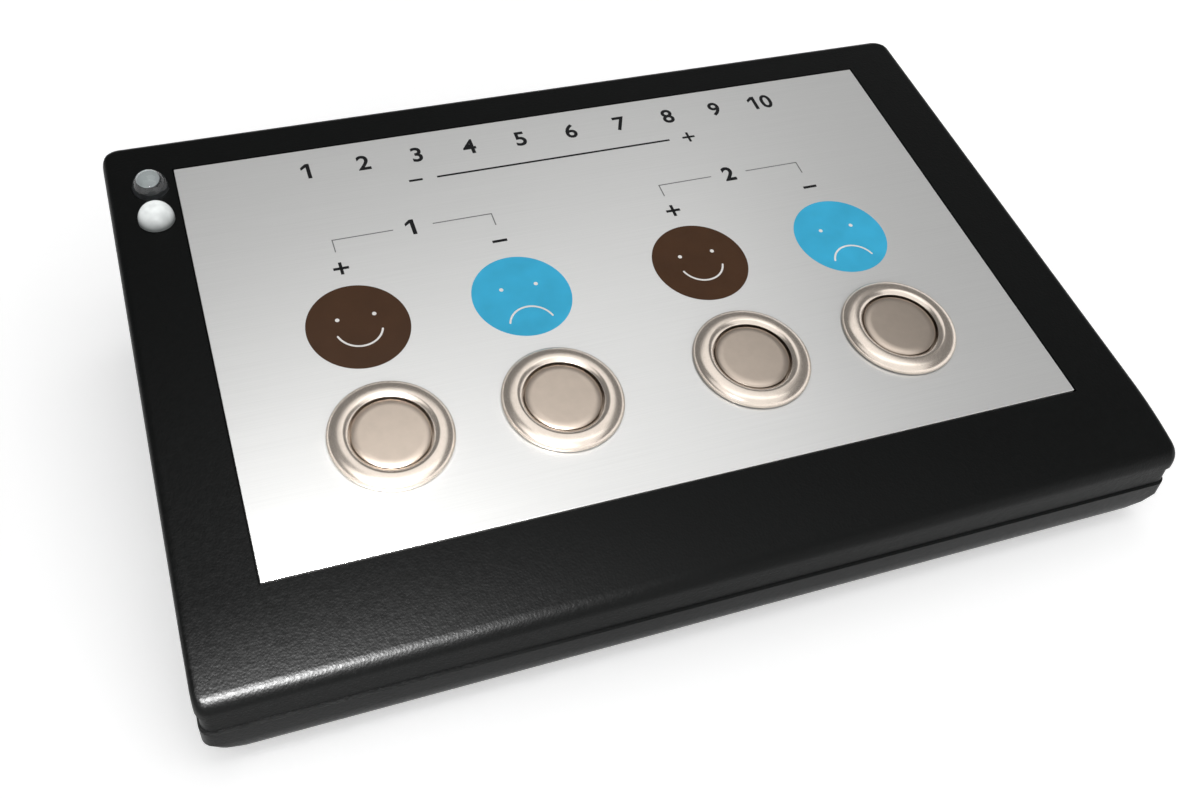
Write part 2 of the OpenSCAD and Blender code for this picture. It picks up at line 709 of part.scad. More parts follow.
module battery_tray() color([0.13, 0.14, 0.14]) difference() {
    translate([bay_left - tray_wall, bay_front - tray_wall, floor_z])
        cube([bay[0] + 2 * tray_wall, bay[1] + 2 * tray_wall, bay_top_z + tray_wall - floor_z]);
    translate([bay_left, bay_front, floor_z - 1]) cube([bay[0], bay[1], bay_top_z - floor_z + 1]);
    for (i = [1, cells]) translate([bay_left - tray_wall - 1, cell_y(i), cell_z])
        rotate([0, 90, 0]) cylinder(d = wire_d + 2 * part_play, h = tray_wall + 2);
}

module contact_plates() color([0.8, 0.78, 0.7])
    for (i = cell_ids) for (x = [bay_left, bay_right - contact_t])
        translate([x, cell_y(i) - contact_size / 2, cell_z - contact_size / 2])
            cube([contact_t, contact_size, contact_size]);

// Cells lie along X and alternate; odd ones have their nub at the left.
module along_cell(i) translate([i % 2 == 1 ? bay_left : bay_right, cell_y(i), cell_z])
    mirror([i % 2 == 1 ? 0 : 1, 0, 0])
        translate([contact_t + end_play, 0, 0]) rotate([0, 90, 0]) children();

module battery_cell(i) color([0.75, 0.6, 0.25]) along_cell(i) {
    cylinder(d = nub[0], h = nub[1]);
    translate([0, 0, nub[1]]) cylinder(d = cell_d, h = cell_l - nub[1]);
}

module contact_coils() color([0.8, 0.78, 0.7]) for (i = cell_ids) along_cell(i)
    translate([0, 0, cell_l + coil_wire / 2 + end_play])
        tube(helix(coil_d / 2, coil_l - coil_wire - end_play, 3), coil_wire, 6);

// Wiring

// Each wire leaves and reaches its pieces square to them.
lead_in = 3.5;

function button_route(i, k) =
    let (
        x = button_x[i - 1] + k * terminal_x, hx = header_x[i - 1] + k * pin_pitch_half,
        tip_n = block_end_n - terminal_l,
        tip = desk(x, button_s, tip_n), to_header = header_y - tip[1]
    )
    [tip, desk(x, button_s, tip_n - 2),
     [x + 0.35 * (hx - x), tip[1] + 0.3 * to_header + k * wire_d, floor_z + 3.5],
     [x + 0.8 * (hx - x), tip[1] + 0.45 * to_header + k * wire_d, floor_z + 9.5],
     [hx, header_y, header_top_z + lead_in], [hx, header_y, header_top_z]];

function battery_route(i, k) =
    let (y = cell_y(i), py = power_at[1] + pin_pitch_half * k)
    [[bay_left, y, cell_z], [bay_left - lead_in, y, cell_z],
     [(bay_left - lead_in + power_at[0]) / 2, (y + py) / 2, cell_z + 4],
     [power_at[0], py, header_top_z + lead_in], [power_at[0], py, header_top_z]];

function lamp_route(k) =
    let (
        s = lamp_s - lamp_pitch / 2 + pin_pitch_half * k, under = lamp_board_n - board_t,
        x = lamp_plug_at[0], y = lamp_plug_at[1] + pin_pitch_half * k
    )
    [desk(lamp_x, s, under), desk(lamp_x, s, under - lead_in),
     [0.6 * lamp_x + 0.4 * x, y + 8, header_top_z + 9],
     [x, y, header_top_z + lead_in], [x, y, header_top_z]];

module wire(route) tube(curve(route, 4), wire_d, 8);

module button_wires() color([0.75, 0.15, 0.12])
    for (i = button_ids) for (k = [-1, 1]) wire(button_route(i, k));

module battery_wires() color([0.75, 0.15, 0.12]) {
    wire(battery_route(1, -1));
    wire(battery_route(cells, 1));
}

module lamp_wires() color([0.75, 0.15, 0.12])
    for (k = [-1, 1]) wire(lamp_route(k));

top_cover();
base_shell();
rubber_feet();
case_screws();
face_plate();
plate_adhesive();
for (i = button_ids) {
    button_bezel(i);
    button_cap(i);
    return_spring(i);
    bezel_seal(i);
    lock_nut(i);
    switch_block(i);
    switch_terminals(i);
}
lamp(0);  // lamp_upper
lamp(1);  // lamp_lower
lamp_board();
lamp_board_screw();
main_board();
board_screws();
processor();
memory_chip();
data_port();
button_connectors();
power_connector();
lamp_connector();
battery_door();
battery_tray();
contact_plates();
contact_coils();
for (i = cell_ids) battery_cell(i);
button_wires();
battery_wires();
lamp_wires();
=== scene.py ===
import json
import math

import bmesh
import bpy
from mathutils import Euler, Matrix, Vector


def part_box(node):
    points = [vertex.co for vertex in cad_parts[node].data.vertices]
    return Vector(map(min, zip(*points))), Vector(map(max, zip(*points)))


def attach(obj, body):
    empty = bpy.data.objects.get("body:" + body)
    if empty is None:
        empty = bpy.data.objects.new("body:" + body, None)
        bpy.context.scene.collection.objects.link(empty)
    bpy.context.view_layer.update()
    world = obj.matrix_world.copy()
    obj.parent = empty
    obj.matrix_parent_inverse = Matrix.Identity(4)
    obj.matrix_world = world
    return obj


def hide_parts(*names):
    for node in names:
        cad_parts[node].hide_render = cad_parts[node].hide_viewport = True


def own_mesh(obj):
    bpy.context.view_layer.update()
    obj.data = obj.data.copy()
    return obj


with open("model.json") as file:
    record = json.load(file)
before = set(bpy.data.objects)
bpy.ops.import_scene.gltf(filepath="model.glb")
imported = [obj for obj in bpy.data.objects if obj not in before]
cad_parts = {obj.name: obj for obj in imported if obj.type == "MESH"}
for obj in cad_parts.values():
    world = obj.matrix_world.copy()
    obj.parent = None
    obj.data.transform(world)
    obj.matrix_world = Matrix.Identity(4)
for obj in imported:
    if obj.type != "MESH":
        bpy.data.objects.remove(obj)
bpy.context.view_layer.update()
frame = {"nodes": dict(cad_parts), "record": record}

MM = 0.001

# The panel: its slope comes from the buttons' axis, and its origin is the middle of the face
# plate's surface. X runs to the right, Y up the slope and Z out of the plate, in millimetres.
PLATE_T = 1.0
press_axis = Vector(frame["record"]["behaviour"]["joints"][0]["axis"])
SLOPE = math.atan2(press_axis.y, -press_axis.z)
plate_low, plate_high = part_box("face_plate")
plate_middle = (plate_low + plate_high) / 2 - press_axis * (PLATE_T / 2 * MM)
PANEL = Matrix.Translation(plate_middle) @ Matrix.Rotation(SLOPE, 4, "X") @ Matrix.Scale(MM, 4)


def at_panel(x, y):
    """Where a piece goes that is built in millimetres round the panel's point (x, y)."""
    return PANEL @ Matrix.Translation((x, y, 0.0))


def on_panel(point):
    """A point in metres, seen in the panel's own millimetres."""
    return PANEL.inverted() @ point


# ---------------------------------------------------------------- camera

# The photograph's frame in pixels: its size, its focal length and the point on its lens' axis.
IMAGE_W = 1200.0
IMAGE_H = 799.0
FOCAL_PX = 1134.9
PRINCIPAL_PX = (498.25, 392.6)
SENSOR_MM = 36.0
CAMERA_AT_MM = (-86.752, -178.135, 184.850)
CAMERA_TURN_DEG = (47.971, -0.693, -17.929)
CLIP_START = 0.01
CLIP_END = 50.0


def make_camera():
    """The photograph's camera: where it stands, how it looks and where its axis meets the image."""
    data = bpy.data.cameras.new("camera")
    data.sensor_width = SENSOR_MM
    data.lens = SENSOR_MM * FOCAL_PX / IMAGE_W
    data.shift_x = (IMAGE_W / 2 - PRINCIPAL_PX[0]) / IMAGE_W
    data.shift_y = (PRINCIPAL_PX[1] - IMAGE_H / 2) / IMAGE_W
    data.clip_start = CLIP_START
    data.clip_end = CLIP_END
    camera = bpy.data.objects.new("camera", data)
    turn = Euler([math.radians(angle) for angle in CAMERA_TURN_DEG])
    camera.matrix_world = Matrix.Translation(Vector(CAMERA_AT_MM) * MM) @ turn.to_matrix().to_4x4()
    bpy.context.scene.collection.objects.link(camera)
    bpy.context.scene.camera = camera


make_camera()


# ---------------------------------------------------------------- materials

class Nodes:
    """A material with its Principled shader, and short ways to add texture nodes to it."""

    def __init__(self, name, color, roughness, metallic=0.0, specular=0.5):
        self.material = bpy.data.materials.new(name)
        self.material.use_nodes = True
        self.tree = self.material.node_tree
        self.shader = self.tree.nodes["Principled BSDF"]
        self.set("Base Color", (*color, 1.0))
        self.set("Roughness", roughness)
        self.set("Metallic", metallic)
        self.set("Specular IOR Level", specular)

    def set(self, socket, value):
        self.shader.inputs[socket].default_value = value

    def add(self, kind, **values):
        """A new node. Each value goes to its setting of that name, or else to its input."""
        node = self.tree.nodes.new(kind)
        for key, value in values.items():
            if hasattr(node, key):
                setattr(node, key, value)
            else:
                node.inputs[key.replace("_", " ").title()].default_value = value
        return node

    def link(self, source, target):
        self.tree.links.new(source, target)

    def place(self, scale=(1000.0, 1000.0, 1000.0), turn=(0.0, 0.0, 0.0)):
        """Object coordinates, turned and then scaled, which gives millimetres if nothing is said."""
        coordinates = self.add("ShaderNodeTexCoord")
        turned = self.add("ShaderNodeMapping")
        turned.inputs["Rotation"].default_value = turn
        stretched = self.add("ShaderNodeMapping")
        stretched.inputs["Scale"].default_value = scale
        self.link(coordinates.outputs["Object"], turned.inputs["Vector"])
        self.link(turned.outputs["Vector"], stretched.inputs["Vector"])
        return stretched.outputs["Vector"]

    def noise(self, vector, scale, detail=3.0, roughness=0.5):
        node = self.add("ShaderNodeTexNoise", scale=scale, detail=detail)
        node.inputs["Roughness"].default_value = roughness
        self.link(vector, node.inputs["Vector"])
        return node.outputs["Fac"]

    def spread(self, value, low, high, start=0.3, end=0.7):
        """A value from start to end made into one from low to high."""
        node = self.add("ShaderNodeMapRange")
        node.inputs["From Min"].default_value = start
        node.inputs["From Max"].default_value = end
        node.inputs["To Min"].default_value = low
        node.inputs["To Max"].default_value = high
        self.link(value, node.inputs["Value"])
        return node.outputs["Result"]

    def tint(self, value, low, high):
        """Lets the colour run from low to high with a noise value."""
        node = self.add("ShaderNodeMix", data_type="RGBA")
        node.inputs["A"].default_value = (*low, 1.0)
        node.inputs["B"].default_value = (*high, 1.0)
        self.link(self.spread(value, 0.0, 1.0), node.inputs["Factor"])
        self.link(node.outputs["Result"], self.shader.inputs["Base Color"])

    def roughen(self, value, low, high):
        """Lets the roughness run from low to high with a noise value."""
        self.link(self.spread(value, low, high), self.shader.inputs["Roughness"])

    def bump(self, value, height_mm, strength, under=None):
        node = self.add("ShaderNodeBump")
        node.inputs["Strength"].default_value = strength
        node.inputs["Distance"].default_value = height_mm * MM
        self.link(value, node.inputs["Height"])
        if under is not None:
            self.link(under, node.inputs["Normal"])
        self.link(node.outputs["Normal"], self.shader.inputs["Normal"])
        return node.outputs["Normal"]


def shade(color, factor):
    """A colour made darker or lighter, and never past white."""
    return [min(c * factor, 1.0) for c in color]


def grained_plastic(name, color, grain_mm=0.45, depth_mm=0.03):
    """Moulded ABS with a spark-eroded grain: small flat-topped pebbles, with finer pits between."""
    m = Nodes(name, color, roughness=0.34, specular=0.12)
    place = m.place()
    cells = m.add("ShaderNodeTexVoronoi", feature="SMOOTH_F1", scale=1.0 / grain_mm)
    cells.inputs["Smoothness"].default_value = 0.6
    m.link(place, cells.inputs["Vector"])
    pebbles = m.bump(cells.outputs["Distance"], depth_mm, strength=0.9)
    pits = m.noise(place, scale=1.1, roughness=0.6)
    m.bump(pits, depth_mm, strength=0.9, under=pebbles)
    m.roughen(m.noise(place, scale=0.9), low=0.34, high=0.42)
    m.tint(m.noise(place, scale=0.05, detail=2.0), shade(color, 0.9), shade(color, 1.15))
    return m.material


def brushed_plate():
    """Satin anodised aluminium, finely brushed from left to right."""
    m = Nodes("plate_aluminium", (0.74, 0.74, 0.73), roughness=0.33, metallic=0.65)
    m.set("Anisotropic", 0.2)
    tangent = m.add("ShaderNodeTangent", direction_type="RADIAL", axis="X")
    m.link(tangent.outputs["Tangent"], m.shader.inputs["Tangent"])
    fine = m.place(scale=(28.0, 5200.0, 5200.0), turn=(-SLOPE, 0.0, 0.0))
    coarse = m.place(scale=(9.0, 900.0, 900.0), turn=(-SLOPE, 0.0, 0.0))
    streaks = m.noise(fine, scale=1.0, roughness=0.6)
    m.bump(streaks, height_mm=0.002, strength=0.25)
    m.roughen(m.noise(coarse, scale=1.0, detail=4.0), low=0.32, high=0.34)
    m.tint(streaks, (0.72, 0.72, 0.71), (0.76, 0.76, 0.75))
    return m.material


def turned_steel(name, color, roughness=0.3):
    """Satin steel with a fine mottle and a few faint scratches."""
    m = Nodes(name, color, roughness, metallic=1.0)
    place = m.place()
    m.roughen(m.noise(place, scale=2.6, detail=4.0), roughness * 0.94, roughness * 1.08)
    scratches = m.noise(m.place(scale=(900.0, 5000.0, 5000.0)), scale=1.0)
    m.bump(scratches, height_mm=0.001, strength=0.2)
    m.tint(m.noise(place, scale=0.5), shade(color, 0.97), shade(color, 1.03))
    return m.material


def plain(name, color, roughness, metallic=0.0, grain=3.0, depth_mm=0.01, specular=0.5):
    """A moulded, drawn or printed finish with a faint grain and drift of colour."""
    m = Nodes(name, color, roughness, metallic, specular)
    place = m.place()
    m.bump(m.noise(place, grain), depth_mm, strength=0.6)
    m.roughen(m.noise(place, grain / 4, detail=2.0), roughness * 0.85, min(roughness * 1.15, 1.0))
    m.tint(m.noise(place, scale=0.15, detail=2.0), shade(color, 0.92), shade(color, 1.06))
    return m.material


def ink(name, color):
    """Matt printing ink."""
    return plain(name, color, 0.5, depth_mm=0.002, specular=0.15)


def clear_epoxy():
    """The unlit lamp's clear dome."""
    m = Nodes("lamp_clear", (0.93, 0.95, 0.96), roughness=0.04)
    m.set("Transmission Weight", 1.0)
    m.set("IOR", 1.52)
    m.bump(m.noise(m.place(), scale=0.8, detail=2.0), height_mm=0.01, strength=0.3)
    return m.material


GLOW_LOW = 0.04
GLOW_HIGH = 0.76
GLOW_FROM = 0.4
GLOW_TO = 3.6


def lit_epoxy():
    """The lit lamp's dome: the glow is strongest at its crown and weaker towards its foot."""
    m = Nodes("lamp_lit", (0.12, 0.13, 0.13), roughness=0.36)
    m.set("Emission Color", (0.97, 1.0, 0.99, 1.0))
    place = m.place(turn=(-SLOPE, 0.0, 0.0))
    split = m.add("ShaderNodeSeparateXYZ")
    m.link(place, split.inputs["Vector"])
    foot = (plate_middle.z * math.cos(SLOPE) - plate_middle.y * math.sin(SLOPE)) / MM
    glow = m.spread(split.outputs["Z"], GLOW_LOW, GLOW_HIGH, foot + GLOW_FROM, foot + GLOW_TO)
    ripple = m.spread(m.noise(place, scale=0.6, detail=1.0), 0.9, 1.1)
    product = m.add("ShaderNodeMath", operation="MULTIPLY")
    m.link(glow, product.inputs[0])
    m.link(ripple, product.inputs[1])
    m.link(product.outputs["Value"], m.shader.inputs["Emission Strength"])
    return m.material


# The finish of each material slot of the record.
MATERIALS = {
    "cover_plastic": grained_plastic("cover_plastic", (0.0014, 0.0018, 0.0017)),
    "base_plastic": grained_plastic("base_plastic", (0.010, 0.0105, 0.0105)),
    "foot_rubber": plain("foot_rubber", (0.012, 0.012, 0.012), 0.85, grain=2.0, depth_mm=0.03),
    "zinc_screws": plain("zinc_screws", (0.55, 0.56, 0.58), 0.3, metallic=1.0),
    "plate_aluminium": brushed_plate(),
    "adhesive_film": plain("adhesive_film", (0.5, 0.5, 0.45), 0.5),
    "button_steel": turned_steel("button_steel", (0.69, 0.61, 0.535), 0.24),
    "spring_steel": turned_steel("spring_steel", (0.6, 0.6, 0.62)),
    "seal_rubber": plain("seal_rubber", (0.012, 0.012, 0.012), 0.7),
    "nut_nickel": turned_steel("nut_nickel", (0.66, 0.62, 0.55)),
    "switch_plastic": plain("switch_plastic", (0.015, 0.015, 0.017), 0.5),
    "contact_metal": plain("contact_metal", (0.75, 0.72, 0.62), 0.3, metallic=1.0),
    "lamp_clear": clear_epoxy(),
    "lamp_lit": lit_epoxy(),
    "board_green": plain("board_green", (0.01, 0.10, 0.03), 0.35),
    "chip_black": plain("chip_black", (0.01, 0.01, 0.01), 0.5),
    "port_steel": plain("port_steel", (0.62, 0.62, 0.64), 0.3, metallic=1.0),
    "connector_cream": plain("connector_cream", (0.72, 0.66, 0.5), 0.5),
    "tray_plastic": plain("tray_plastic", (0.015, 0.016, 0.016), 0.5),
    "cell_case": plain("cell_case", (0.55, 0.5, 0.36), 0.3, metallic=0.6),
    "wire_red": plain("wire_red", (0.45, 0.01, 0.008), 0.35),
}
SLOT_OF = {part["node"]: part["material_slot"] for part in frame["record"]["subparts"]}

# The finishes of what only this script shows.
CAP_STEEL = turned_steel("cap_steel", (0.495, 0.42, 0.355), 0.35)
LAMP_CUP = plain("lamp_cup", (0.45, 0.49, 0.49), 0.4, depth_mm=0.004)
# Painted shade: the near-black of the core inside each lamp's dome, under the cup.
LAMP_SHADE_CORE = plain("lamp_painted_shade_core", (0.02, 0.022, 0.024), 0.5)
INK_BLACK = ink("ink_black", (0.008, 0.008, 0.009))
INK_GREY = ink("ink_grey", (0.18, 0.18, 0.18))
INK_BROWN = ink("ink_brown", (0.062, 0.027, 0.011))
INK_BLUE = ink("ink_blue", (0.046, 0.44, 0.70))
INK_WHITE = ink("ink_white", (0.82, 0.80, 0.77))


def dress_nodes():
    """Gives each CAD node the material of its slot."""
    for node, slot in SLOT_OF.items():
        data = frame["nodes"][node].data
        data.materials.clear()
        data.materials.append(MATERIALS[slot])


dress_nodes()


# ---------------------------------------------------------------- ways to build pieces

ON_AXIS = 1e-6
WELD_M = 2e-6
SLIVER_M = 1e-6
FLAT_DEG = 0.4
SHARP_DEG = 32.0
ROUND_DEG = 34.0


def finish_piece(name, bm, material, body="case", stands_for=(), sharp_deg=30.0, matrix=None):
    """Makes a piece from bm, smooth but for edges sharper than sharp_deg, and rides it on a body."""
    bmesh.ops.recalc_face_normals(bm, faces=bm.faces)
    for face in bm.faces:
        face.smooth = True
    for edge in bm.edges:
        edge.smooth = edge.calc_face_angle(math.pi) < math.radians(sharp_deg)
    mesh = bpy.data.meshes.new(name)
    bm.to_mesh(mesh)
    bm.free()
    if matrix is not None:
        mesh.transform(matrix)
    mesh.materials.append(material)
    piece = bpy.data.objects.new(name, mesh)
    bpy.context.scene.collection.objects.link(piece)
    if stands_for:
        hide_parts(*stands_for)
    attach(piece, body)
    return piece


def mesh_of(node):
    """A working copy of a CAD node's mesh."""
    bm = bmesh.new()
    bm.from_mesh(frame["nodes"][node].data)
    return bm


def refined(name, node, round_mm, body="case"):
    """A CAD node's own shape with merged facets, small rounds on its edges and smooth shading."""
    slot = SLOT_OF[node]
    bm = mesh_of(node)
    bmesh.ops.remove_doubles(bm, verts=bm.verts, dist=WELD_M)
    bmesh.ops.dissolve_degenerate(bm, dist=SLIVER_M, edges=bm.edges)
    bmesh.ops.dissolve_limit(
        bm, angle_limit=math.radians(FLAT_DEG), verts=bm.verts, edges=bm.edges,
        use_dissolve_boundaries=False)
    piece = finish_piece(name, bm, MATERIALS[slot], body, (node,), sharp_deg=SHARP_DEG)
    rounds = piece.modifiers.new("rounds", "BEVEL")
    rounds.width = round_mm * MM
    rounds.segments = 2
    rounds.limit_method = "ANGLE"
    rounds.angle_limit = math.radians(ROUND_DEG)
    rounds.miter_outer = "MITER_ARC"
    rounds.harden_normals = True
    shading = piece.modifiers.new("shading", "WEIGHTED_NORMAL")
    shading.keep_sharp = True


def circle(centre, radius, steps):
    """Points (x, y) on a circle, anticlockwise."""
    turns = [2 * math.pi * k / steps for k in range(steps)]
    return [(centre[0] + radius * math.cos(a), centre[1] + radius * math.sin(a)) for a in turns]


def arc(centre, radii, from_deg, to_deg, steps):
    """Points (radius, height) on an elliptic arc."""
    turns = [math.radians(from_deg + (to_deg - from_deg) * k / steps) for k in range(steps + 1)]
    return [(centre[0] + radii[0] * math.cos(a), centre[1] + radii[1] * math.sin(a)) for a in turns]


def lathe_into(bm, outline, segments=128, centre=(0.0, 0.0)):
    """Adds to bm what an outline of (radius, height) points sweeps as it turns.

    An outline with both ends off the axis is closed into a ring.
    """
    rings = []
    for radius, height in outline:
        if radius < ON_AXIS:
            rings.append([bm.verts.new((*centre, height))])
        else:
            rings.append([bm.verts.new((x, y, height)) for x, y in circle(centre, radius, segments)])
    pairs = list(zip(rings, rings[1:]))
    if len(rings[0]) > 1 and len(rings[-1]) > 1:
        pairs.append((rings[-1], rings[0]))
    for a, b in pairs:
        for k in range(segments):
            following = (k + 1) % segments
            corners = [a[k % len(a)], a[following % len(a)], b[following % len(b)], b[k % len(b)]]
            kept = [v for n, v in enumerate(corners) if v not in corners[:n]]
            if len(kept) > 2:
                bm.faces.new(kept)


# ---------------------------------------------------------------- case

COVER_ROUND = 0.25
TUB_ROUND = 0.3
DOOR_ROUND = 0.2
PLATE_ROUND = 0.12

refined("cover_shell", "top_cover", COVER_ROUND)
refined("base_tub", "base_shell", TUB_ROUND)
refined("bay_door", "battery_door", DOOR_ROUND, body="battery_door")
refined("plate", "face_plate", PLATE_ROUND)

FOOT_R = 5.0
FOOT_EDGE = 0.8
DISH_DEPTH = 0.25
DISH_R = 3.2
DISH_FLAT_R = 2.8


def make_feet():
    """Four rubber feet with a rounded edge and a shallow dish underneath."""
    low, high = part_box("rubber_feet")
    height = (high.z - low.z) / MM
    outline = [(0.0, DISH_DEPTH), (DISH_FLAT_R, DISH_DEPTH), (DISH_R, 0.0)]
    outline += arc((FOOT_R - FOOT_EDGE, FOOT_EDGE), (FOOT_EDGE, FOOT_EDGE), -90, 0, 8)
    outline += [(FOOT_R, height), (0.0, height)]
    bm = bmesh.new()
    for x in (low.x / MM + FOOT_R, high.x / MM - FOOT_R):
        for y in (low.y / MM + FOOT_R, high.y / MM - FOOT_R):
            lathe_into(bm, outline, 64, (x, y))
    finish_piece(
        "foot_pads", bm, MATERIALS["foot_rubber"], "case", ("rubber_feet",),
        matrix=Matrix.Scale(MM, 4))


make_feet()


# ---------------------------------------------------------------- push buttons

# Heights are over the plate's surface.
BUTTONS = [1, 2, 3, 4]
BUTTON_UP = -27.965
SEAL_T = 0.3
BEZEL_R = 12.5
BEZEL_H = 1.6
LIP_H = 0.95
EDGE_H = 0.1
CREST_IN = 2.9
BARREL_R = 11.0
BARREL_L = 14.0
PLAIN_L = 1.0
THREAD_PITCH = 1.0
THREAD_DEPTH = 0.5
CAP_R = 7.9
CAP_GAP = 0.4
CAP_SINK = 0.5
CAP_EDGE = 1.8
CAP_DROP = 0.6
COLLAR_OUT = 0.9
COLLAR_T = 2.0
COLLAR_GAP = 0.2
SHOULDER = -1.5
END_PLAY = 0.05
STEM_R = 3.0
STEM_END = -12.5
BEZEL_STEPS = 20
CAP_STEPS = 16
COIL_SHARP_DEG = 60.0


def bezel_outline():
    """The flange with its rounded crest and dished inside, and the threaded barrel under it."""
    crest_r = BEZEL_R - CREST_IN
    crest = SEAL_T + BEZEL_H
    edge = SEAL_T + EDGE_H
    rim = SEAL_T + LIP_H
    mouth = CAP_R + CAP_GAP
    bore = CAP_R + COLLAR_OUT + COLLAR_GAP
    root = BARREL_R - THREAD_DEPTH
    points = [(BARREL_R, SEAL_T), (BEZEL_R, SEAL_T)]
    points += arc((crest_r, edge), (CREST_IN, crest - edge), 0, 90, BEZEL_STEPS)
    for k in range(1, BEZEL_STEPS + 1):
        inward = k / BEZEL_STEPS
        points.append((crest_r - (crest_r - mouth) * inward, crest - (crest - rim) * inward ** 2))
    points += [(mouth, SHOULDER), (bore, SHOULDER), (bore, -BARREL_L), (root, -BARREL_L)]
    for k in range(int((BARREL_L - PLAIN_L) / THREAD_PITCH)):
        points.append((root, -BARREL_L + (k + 0.5) * THREAD_PITCH))
        points.append((BARREL_R, -BARREL_L + (k + 1.0) * THREAD_PITCH))
    return points


def cap_outline():
    """The moving cap: a flat top that rounds off towards its edge, a guide collar and a stem."""
    top = SEAL_T + BEZEL_H - CAP_SINK
    collar = CAP_R + COLLAR_OUT
    collar_top = SHOULDER - END_PLAY
    points = [(0.0, top)]
    points += arc((CAP_R - CAP_EDGE, top - CAP_DROP), (CAP_EDGE, CAP_DROP), 90, 0, CAP_STEPS)
    points += [(CAP_R, collar_top), (collar, collar_top), (collar, collar_top - COLLAR_T)]
    points += [(STEM_R, collar_top - COLLAR_T), (STEM_R, STEM_END), (0.0, STEM_END)]
    return points


def make_button(i):
    """A button's bezel, which stays, and its cap, which moves."""
    low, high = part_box(f"button_cap_{i}")
    place = at_panel((low.x + high.x) / 2 / MM, BUTTON_UP)
    bm = bmesh.new()
    lathe_into(bm, bezel_outline())
    finish_piece(
        f"bezel_{i}", bm, MATERIALS["button_steel"], "case", (f"button_bezel_{i}",),
        matrix=place)
    bm = bmesh.new()
    lathe_into(bm, cap_outline())
    finish_piece(
        f"cap_{i}", bm, CAP_STEEL, f"button_{i}", (f"button_cap_{i}",),
        matrix=place)


def make_spring(i):
    """A cap's return spring in place of its node, riding on the case, with a mesh of its own."""
    node = f"return_spring_{i}"
    slot = SLOT_OF[node]
    bm = mesh_of(node)
    piece = finish_piece(
        f"spring_{i}", bm, MATERIALS[slot], "case", (node,), sharp_deg=COIL_SHARP_DEG)
    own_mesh(piece)


for number in BUTTONS:
    make_button(number)
    make_spring(number)


# ---------------------------------------------------------------- lamps

CASE_D = 129.4
LAMP_REAR = 14.7
LAMP_PITCH = 9.6
PLATE_MID = 70.98
UPPER_LAMP_UP = CASE_D / math.cos(SLOPE) - LAMP_REAR - PLATE_MID
LAMP_R = 3.9
LAMP_RIM_R = 4.5
LAMP_RIM_TOP = -3.0
LAMP_RIM_FOOT = -4.0
LEAD_X = 1.27
LEAD_R = 0.3
LEAD_END = -7.0

# Inside the dome, as (radius, height): the bright cup that carries the chip, a little off the
# axis, and the dark core under it, which is painted shade: it stands for the dark seen through
# the dome below the cup.
CUP_AT = (-0.2, 0.5)
CUP_OUTLINE = [(0.0, 0.95), (1.0, 0.95), (1.8, 1.4), (1.95, 1.3), (1.2, 0.8), (0.0, 0.8)]
SHADE_CORE_OUTLINE = [(0.0, 0.78), (1.1, 0.78), (1.6, -0.4), (3.75, -0.4), (3.75, -2.8), (0.0, -2.8)]


def make_lamp(node, name, up):
    """A lamp's dome and rim in place of its node, and its leads, cup and core; the core is a near-black
    solid of painted shade.
    """
    slot = SLOT_OF[node]
    low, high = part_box(node)
    place = at_panel(on_panel((low + high) / 2).x, up)
    outline = arc((0.0, 0.0), (LAMP_R, LAMP_R), 90, 0, 24)
    outline += [(LAMP_R, LAMP_RIM_TOP), (LAMP_RIM_R, LAMP_RIM_TOP)]
    outline += [(LAMP_RIM_R, LAMP_RIM_FOOT), (0.0, LAMP_RIM_FOOT)]
    bm = bmesh.new()
    lathe_into(bm, outline, 96)
    finish_piece(name, bm, MATERIALS[slot], "case", (node,), matrix=place)
    lead = [(0.0, LAMP_RIM_FOOT), (LEAD_R, LAMP_RIM_FOOT), (LEAD_R, LEAD_END), (0.0, LEAD_END)]
    bm = bmesh.new()
    for side in (-1, 1):
        lathe_into(bm, lead, 16, (side * LEAD_X, 0.0))
    finish_piece(
        f"{name}_leads", bm, MATERIALS["contact_metal"], "case", matrix=place)
    bm = bmesh.new()
    lathe_into(bm, CUP_OUTLINE, 48, CUP_AT)
    finish_piece(f"{name}_cup", bm, LAMP_CUP, "case", matrix=place)
    bm = bmesh.new()
    # The core: a near-black solid of painted shade under the cup, for the dark seen through the dome.
    lathe_into(bm, SHADE_CORE_OUTLINE, 64)
    finish_piece(f"{name}_core", bm, LAMP_SHADE_CORE, "case", matrix=place)


make_lamp("lamp_upper", "dome_upper", UPPER_LAMP_UP)
make_lamp("lamp_lower", "dome_lower", UPPER_LAMP_UP - LAMP_PITCH)


# ---------------------------------------------------------------- ways to print on the plate

INK_T = 0.03
ROUND_END_STEPS = 8
FONT_STEPS = 4
FONT_WELD = 1e-4
# The flag that the font's 1 lacks, from its stem's left edge, as shares of its height.
ONE_FLAG = [(0.0, 1.0), (-0.27, 0.78), (-0.27, 0.6), (0.0, 0.78)]


def prism_into(bm, outline, base):
    """Adds a thin closed prism over an outline, from base up by the ink's thickness."""
    lower = [bm.verts.new((p[0], p[1], base)) for p in outline]
    upper = [bm.verts.new((p[0], p[1], base + INK_T)) for p in outline]
    bm.faces.new(list(reversed(lower)))
    bm.faces.new(upper)
    for k in range(len(outline)):
        following = (k + 1) % len(outline)
        bm.faces.new([lower[k], lower[following], upper[following], upper[k]])


def round_end(before, end, half):
    """The points of a half circle round a strip's end, which comes after the point before."""
    along = (Vector(end) - Vector(before)).normalized()
    start = math.atan2(along.y, along.x) - math.pi / 2
    turns = [start + math.pi * k / ROUND_END_STEPS for k in range(1, ROUND_END_STEPS)]
    return [Vector(end) + half * Vector((math.cos(a), math.sin(a))) for a in turns]


